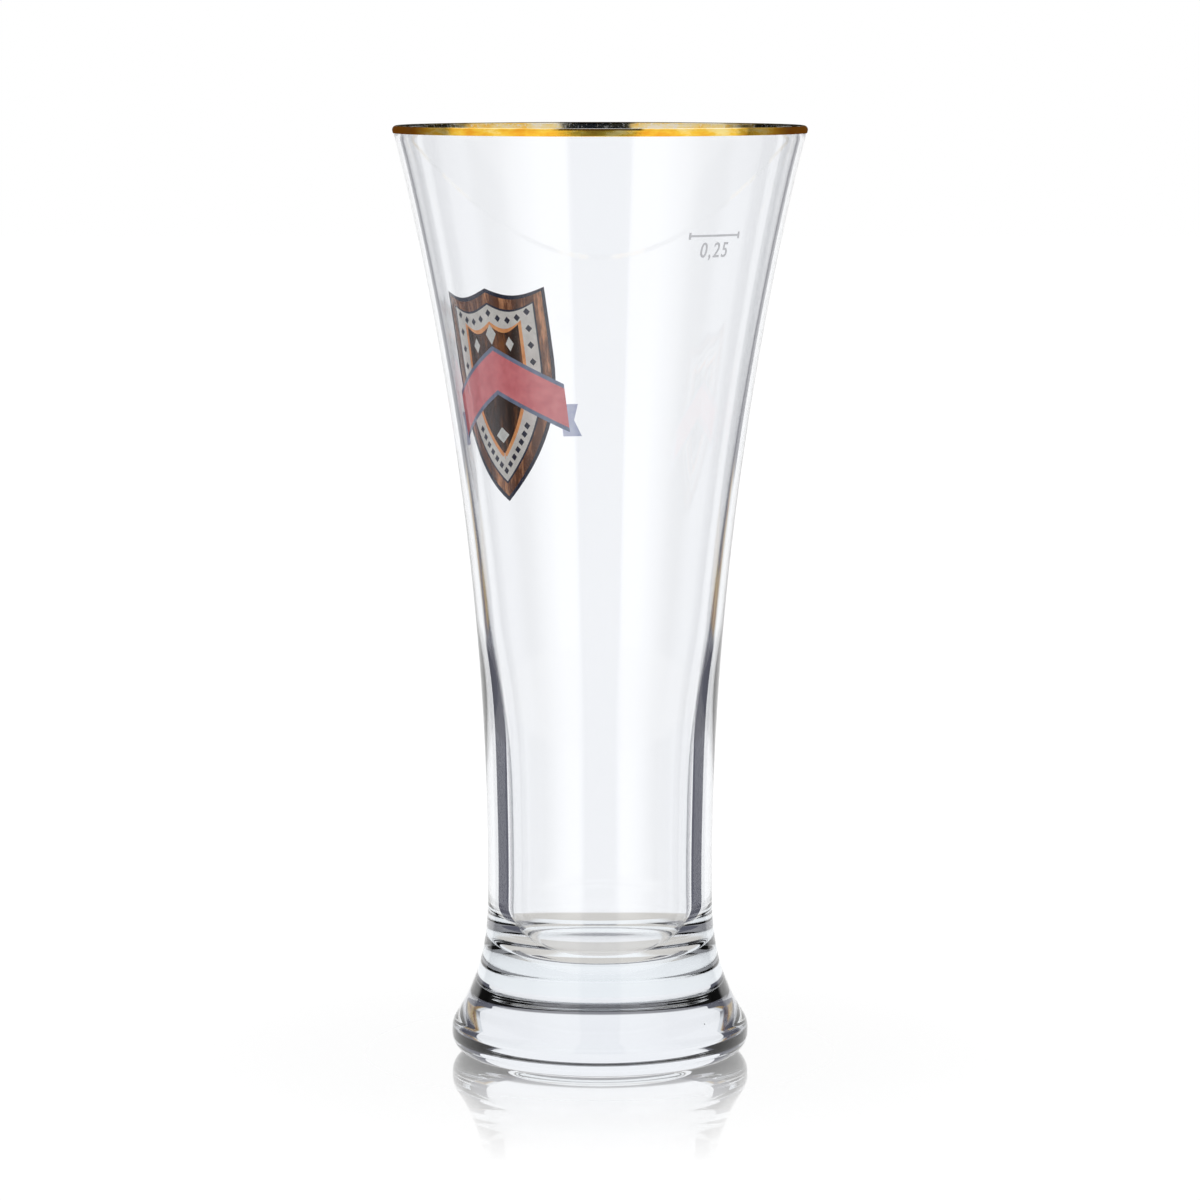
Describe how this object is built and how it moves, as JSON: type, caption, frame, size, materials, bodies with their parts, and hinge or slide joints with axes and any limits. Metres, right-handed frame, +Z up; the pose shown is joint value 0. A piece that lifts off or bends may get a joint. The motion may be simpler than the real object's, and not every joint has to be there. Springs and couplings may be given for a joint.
{
  "type": "beer glass",
  "caption": "Tall flared beer glass: thin bowl widening to a gilt rim, heavy solid foot, fill line, and a fired enamel shield emblem on its side.",
  "frame": {"origin": "centre of the ring that the glass stands on, in the plane of the table", "axes": "+Z up along the glass's axis; -Y is the front, with the fill line to its right and the emblem on the back to its left"},
  "size_m": [0.08, 0.08, 0.181],
  "materials": {
    "clear_glass": "clear, fire polished",
    "gilding": "fired gold, bright, slightly worn",
    "white_enamel": "fired enamel, satin white",
    "navy_enamel": "fired enamel, dark blue",
    "copper_enamel": "fired enamel, copper brown",
    "cream_enamel": "fired enamel, warm grey cream",
    "orange_enamel": "fired enamel, orange",
    "brown_enamel": "fired enamel, dark brown",
    "pink_enamel": "fired enamel, pinkish red",
    "slate_enamel": "fired enamel, slate blue",
    "lilac_enamel": "fired enamel, lilac blue"
  },
  "bodies": {
    "root": {"bowl": "clear_glass", "foot": "clear_glass", "rim_gilding": "gilding", "fill_line": "white_enamel", "emblem_navy": "navy_enamel", "emblem_copper": "copper_enamel", "emblem_cream": "cream_enamel", "emblem_orange": "orange_enamel", "emblem_brown": "brown_enamel", "emblem_lozenges": "cream_enamel", "emblem_pink": "pink_enamel", "emblem_slate": "slate_enamel", "emblem_lilac": "lilac_enamel"}
  },
  "joints": []
}
